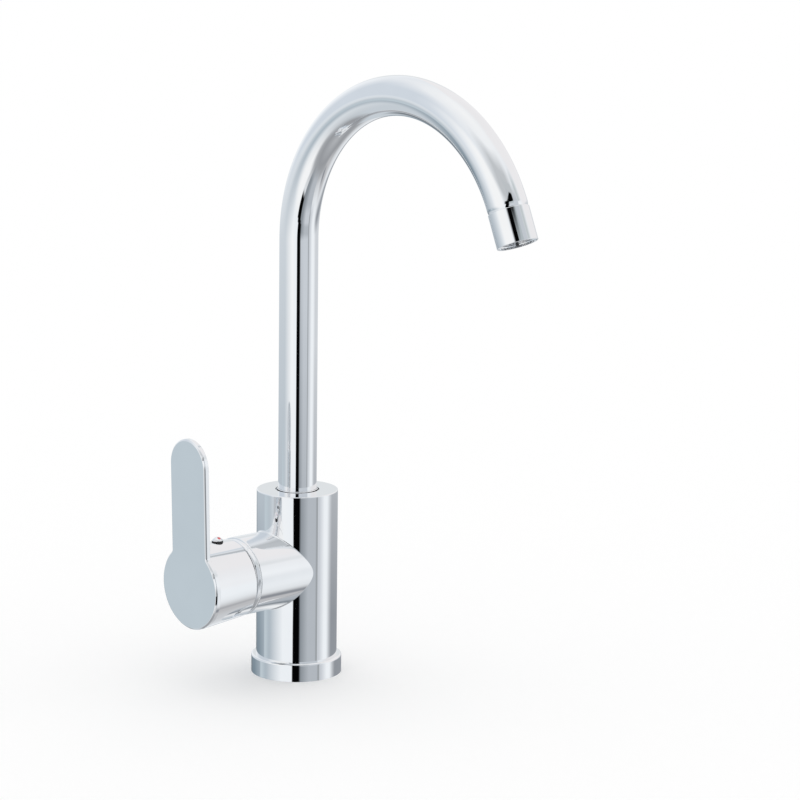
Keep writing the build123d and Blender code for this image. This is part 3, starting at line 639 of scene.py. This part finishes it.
def indicator_plug():
    """Cap over the set screw, with two seats for its dots."""
    bm = plug_shape()
    for side in (-1, 1):
        bm = combined(bm, dot_pin(side, MARK_R + MARK_FIT), "DIFFERENCE")
    return closed(bm, LEAN @ PLUG)


def mark_dot(side):
    """Inlaid dot on the side of the cap that looks along +Y or -Y."""
    return closed(combined(plug_shape(), dot_pin(side, MARK_R), "INTERSECT"), LEAN @ PLUG)


piece("polished_dome_ring", dome_ring(), "chrome", "fixed_body", "dome_ring")
piece("polished_lever", lever_handle(), "chrome", "lever", "lever_handle", axes=(LEAN @ LEVER,))
piece("polished_plug", indicator_plug(), "chrome", "lever", "indicator_plug")
# The sleeve's black band under the plug's cap is partly painted shade.
piece("rubber_and_shade_sleeve", plug_sleeve(), "seal_rubber", "lever", "plug_sleeve")
piece("hot_dot", mark_dot(-1), "hot_red", "lever", "hot_mark")
piece("cold_dot", mark_dot(1), "cold_blue", "lever", "cold_mark")


# Studio: white floor and world, and a far tent of soft panels that only reflections see

CAMERA_AZIMUTH = radians(-42.49)
CAMERA_ELEVATION = radians(11.27)
CAMERA_ROLL = radians(0.74)
CAMERA_DISTANCE = 1.8174
CAMERA_TARGET = Vector((0.07882, 0, 0.1493))
CAMERA_LENS = 139.37      # mm, on a 36 mm wide sensor
FLOOR_R = 12.0
TENT_R = 9.0
TENT_SIDES = 96
CHROME_TONE = 0.905       # share of light that the chrome gives back
WHITE = (1.0, 1.0, 1.0, 1.0)
DEGREES = 180 / pi
NADIR, ZENITH = -90.0, 90.0
MIX_A, MIX_B, MIX_RESULT = 6, 7, 2         # colour sockets of a Mix node
SCREEN_LIFT, SCREEN_POWER = 0.055, 2.4     # curve from a screen's tones to light
EDGES = ("Left", "Right", "Low", "High")
EDGE_ENDS = [f"{edge} {end}" for edge in EDGES for end in ("from", "to")]

# Tent fabric, as (elevation in degrees, how it looks in the chrome)
FABRIC = [
    (-90, (176, 178, 181)),
    (-66, (150, 152, 156)),
    (-56, (162, 164, 167)),
    (-46, (204, 206, 209)),
    (-34, (224, 227, 230)),
    (-18, (236, 239, 242)),
    (10, (238, 241, 245)),
    (40, (228, 231, 235)),
    (90, (255, 255, 255)),
]
# Panels, each over the ones before it: how it looks in the chrome, then where its fades start and end,
# in degrees: azimuth to the right of the camera at its left and right edges, elevation at its low and
# high edges, and last how much it rises to the right.
PANELS = [
    ("grey_low_left", (196, 203, 209), (-181, -180, -112, -55), (-64, -54, -22, -17), 0),
    ("bounce_left", (248, 250, 253), (-75, -45, -22, -15), (-52, -44, -24, -17), 0),
    ("cool_upper_left", (206, 213, 221), (-155, -125, -90, -62), (-4, 4, 36, 60), 0),
    ("softbox_left", (255, 255, 255), (-85, -58, -32, -18), (-16, -4, 27, 38), 0),
    ("wall_left", (165, 176, 185), (-181, -180, -85, -38), (-30, -18, -15.5, 3), 0),
    ("cool_wall_left", (116, 132, 143), (-181, -180, -135, -95), (-26, -17, -16.5, -12.5), 0),
    ("lever_card", (187, 198, 205), (-106, -102, -97.5, -78), (-19, -17.8, -12, -10.5), 0),
    ("rear_strip_left", (120, 126, 132), (-170, -160, -152, -146), (-44, -36, -20, -10), 0),
    ("grey_top_front", (190, 193, 196), (-50, -15, 35, 66), (24, 33, 50, 66), 0),
    ("grey_front_right", (178, 183, 189), (7, 9, 62, 66), (-62, -50, 34, 44), 0),
    ("pale_low_right", (198, 202, 208), (7, 9, 56, 62), (-34, -27, -20, -17), 0),
    ("pale_front_right", (199, 204, 210), (7, 9, 62, 66), (-12, -8, 30, 38), 0),
    ("seam_right", (155, 159, 163), (56, 59, 62, 65), (-30, -25, -6, 0), 0),
    ("ramp_right", (196, 200, 206), (63, 66, 67, 86), (-34, -26, -4, 6), 0),
    ("warm_right", (234, 232, 233), (78, 100, 180, 181), (-8, 2, 60, 75), 0),
    ("cool_upper_right", (192, 198, 200), (62, 68, 76, 92), (24, 29, 40, 50), 0),
    ("grey_low_right", (186, 186, 188), (92, 106, 116, 134), (-64, -56, -36, -24), 0),
    ("grey_under_neck", (138, 141, 147), (93, 101, 106, 111), (-56, -50, -44, -37), 0),
    ("rear_left", (219, 222, 224), (-182, -181, -173, -166), (3, 8, 18, 24), 0),
    ("rear_right", (219, 222, 224), (166, 173, 181, 182), (3, 8, 18, 24), 0),
    ("wall_right", (205, 208, 212), (100, 120, 180, 181), (-30, -18, 0, 8), 0),
    ("grey_rear_right", (144, 148, 154), (96, 118, 180, 181), (-26, -17, -15, -9), 0),
    ("shade_right", (138, 144, 150), (-2, 0, 13, 34), (-62, -50, -13, -6), 0),
    ("camera_slit", (2, 2, 3), (-10, -8, 8.5, 13), (-18.5, -17.5, 22.5, 24), 0),
    ("slit_step", (2, 2, 3), (-13.5, -11.5, 5, 9), (-20.5, -19.5, -17.3, -16.8), 0),
    ("slit_foot", (2, 2, 3), (-17, -15, 2, 5), (-37, -33, -19.3, -18.8), 0),
    ("slit_top", (2, 2, 3), (-20, -11, 36, 40), (20, 22, 31.5, 32.2), 0.33),
    ("grey_over_slit", (187, 191, 194), (0, 5, 45, 50), (39.3, 40.3, 44.5, 46), 0),
    ("grey_by_slit", (176, 184, 188), (8.5, 11, 36, 40), (18, 20, 27.8, 28.8), 0.15),
]


def tone(red, green, blue):
    """Colour of fabric that has this look in the chrome, from 0 to 255, and is white at most."""
    shares = [value / 255 for value in (red, green, blue)]
    looks = [((share + SCREEN_LIFT) / (1 + SCREEN_LIFT))**SCREEN_POWER for share in shares]
    return (*(min(look / CHROME_TONE, 1.0) for look in looks), 1.0)


def soft_panel_group():
    """A mask that is 1 on a panel of the tent and fades over its four edges."""
    inputs = dict.fromkeys(["Azimuth", "Elevation", "Slant", *EDGE_ENDS], 0.0)
    tree, given, out = new_group("soft_panel", inputs, ["Mask"])
    rise = node(tree, "ShaderNodeMath", operation="MULTIPLY")
    level = node(tree, "ShaderNodeMath", operation="SUBTRACT")
    tree.links.new(given.outputs["Azimuth"], rise.inputs[0])
    tree.links.new(given.outputs["Slant"], rise.inputs[1])
    tree.links.new(given.outputs["Elevation"], level.inputs[0])
    tree.links.new(rise.outputs["Value"], level.inputs[1])
    mask = None
    for edge in EDGES:
        rising = edge in ("Left", "Low")
        ends = {"To Min": 0.0, "To Max": 1.0} if rising else {"To Min": 1.0, "To Max": 0.0}
        fade = node(tree, "ShaderNodeMapRange", ends)
        across = given.outputs["Azimuth"] if edge in ("Left", "Right") else level.outputs["Value"]
        tree.links.new(across, fade.inputs["Value"])
        tree.links.new(given.outputs[f"{edge} from"], fade.inputs["From Min"])
        tree.links.new(given.outputs[f"{edge} to"], fade.inputs["From Max"])
        if mask is None:
            mask = fade.outputs["Result"]
        else:
            product = node(tree, "ShaderNodeMath", operation="MULTIPLY")
            tree.links.new(mask, product.inputs[0])
            tree.links.new(fade.outputs["Result"], product.inputs[1])
            mask = product.outputs["Value"]
    tree.links.new(mask, out.inputs["Mask"])
    return tree


def tent_fabric():
    """Glowing fabric with its panels, laid out by azimuth from the camera and by elevation."""
    material = bpy.data.materials.new("tent_fabric")
    material.use_nodes = True
    material.cycles.emission_sampling = "NONE"
    tree = material.node_tree
    tree.nodes.clear()
    place = node(tree, "ShaderNodeTexCoord")
    turn = node(tree, "ShaderNodeMapping", {"Rotation": (0, 0, pi / 2 - CAMERA_AZIMUTH)})
    axes = node(tree, "ShaderNodeSeparateXYZ")
    unit = node(tree, "ShaderNodeVectorMath", operation="NORMALIZE")
    bearing = node(tree, "ShaderNodeMath", operation="ARCTAN2")
    height = node(tree, "ShaderNodeMath", operation="ARCSINE")
    azimuth = node(tree, "ShaderNodeMath", {1: DEGREES}, operation="MULTIPLY")
    elevation = node(tree, "ShaderNodeMath", {1: DEGREES}, operation="MULTIPLY")
    share = node(tree, "ShaderNodeMapRange", {"From Min": NADIR, "From Max": ZENITH})
    fabric = node(tree, "ShaderNodeValToRGB")
    tree.links.new(place.outputs["Object"], turn.inputs["Vector"])
    tree.links.new(turn.outputs["Vector"], unit.inputs[0])
    tree.links.new(unit.outputs["Vector"], axes.inputs["Vector"])
    tree.links.new(axes.outputs["Y"], bearing.inputs[0])
    tree.links.new(axes.outputs["X"], bearing.inputs[1])
    tree.links.new(axes.outputs["Z"], height.inputs[0])
    tree.links.new(bearing.outputs["Value"], azimuth.inputs[0])
    tree.links.new(height.outputs["Value"], elevation.inputs[0])
    tree.links.new(elevation.outputs["Value"], share.inputs["Value"])
    tree.links.new(share.outputs["Result"], fabric.inputs["Fac"])
    ramp = fabric.color_ramp.elements
    ramp[0].color = tone(*FABRIC[0][1])
    ramp[1].color = tone(*FABRIC[-1][1])
    for level, look in FABRIC[1:-1]:
        ramp.new((level - NADIR) / (ZENITH - NADIR)).color = tone(*look)
    colour = fabric.outputs["Color"]
    soft_panel = soft_panel_group()
    for name, look, sides, levels, slant in PANELS:
        places = dict(zip(EDGE_ENDS, sides + levels), Slant=slant)
        panel = node(tree, "ShaderNodeGroup", places, node_tree=soft_panel, label=name)
        over = node(tree, "ShaderNodeMix", {MIX_B: tone(*look)}, data_type="RGBA")
        tree.links.new(azimuth.outputs["Value"], panel.inputs["Azimuth"])
        tree.links.new(elevation.outputs["Value"], panel.inputs["Elevation"])
        tree.links.new(panel.outputs["Mask"], over.inputs["Factor"])
        tree.links.new(colour, over.inputs[MIX_A])
        colour = over.outputs[MIX_RESULT]
    glow = node(tree, "ShaderNodeEmission", {"Strength": 1.0})
    surface = node(tree, "ShaderNodeOutputMaterial")
    tree.links.new(colour, glow.inputs["Color"])
    tree.links.new(glow.outputs["Emission"], surface.inputs["Surface"])
    return material


def studio():
    """White floor and world, and the tent round the tap."""
    bm = bmesh.new()
    bmesh.ops.create_circle(bm, cap_ends=True, segments=TENT_SIDES, radius=FLOOR_R)
    floor = plain_object("floor", bm)
    white = bpy.data.materials.new("white_floor")
    white.use_nodes = True
    shader = white.node_tree.nodes["Principled BSDF"]
    shader.inputs["Base Color"].default_value = WHITE
    shader.inputs["Roughness"].default_value = 1.0
    shader.inputs["Specular IOR Level"].default_value = 0.0
    floor.data.materials.append(white)
    floor.visible_glossy = False
    bm = bmesh.new()
    bmesh.ops.create_uvsphere(bm, u_segments=TENT_SIDES, v_segments=TENT_SIDES // 2, radius=TENT_R)
    tent = plain_object("tent", bm)
    tent.data.shade_smooth()
    tent.data.materials.append(tent_fabric())
    tent.visible_camera = False
    tent.visible_diffuse = False
    tent.visible_shadow = False
    world = bpy.data.worlds.new("white_studio")
    world.use_nodes = True
    world.node_tree.nodes["Background"].inputs["Color"].default_value = WHITE
    world.node_tree.nodes["Background"].inputs["Strength"].default_value = 1.0
    bpy.context.scene.world = world
    bpy.context.scene.view_settings.view_transform = "Standard"


def camera():
    """Camera at the viewing angle, a little rolled."""
    back = Vector((
        sin(CAMERA_AZIMUTH) * cos(CAMERA_ELEVATION), -cos(CAMERA_AZIMUTH) * cos(CAMERA_ELEVATION),
        sin(CAMERA_ELEVATION),
    ))
    level = Vector((cos(CAMERA_AZIMUTH), sin(CAMERA_AZIMUTH), 0))
    upright = back.cross(level)
    right = level * cos(CAMERA_ROLL) + upright * sin(CAMERA_ROLL)
    up = upright * cos(CAMERA_ROLL) - level * sin(CAMERA_ROLL)
    view = bpy.data.cameras.new("camera")
    view.lens = CAMERA_LENS
    made = bpy.data.objects.new("camera", view)
    bpy.context.scene.collection.objects.link(made)
    turned_view = Matrix((right, up, back)).transposed().to_4x4()
    made.matrix_world = Matrix.Translation(CAMERA_TARGET + back * CAMERA_DISTANCE) @ turned_view
    bpy.context.scene.camera = made


studio()
camera()
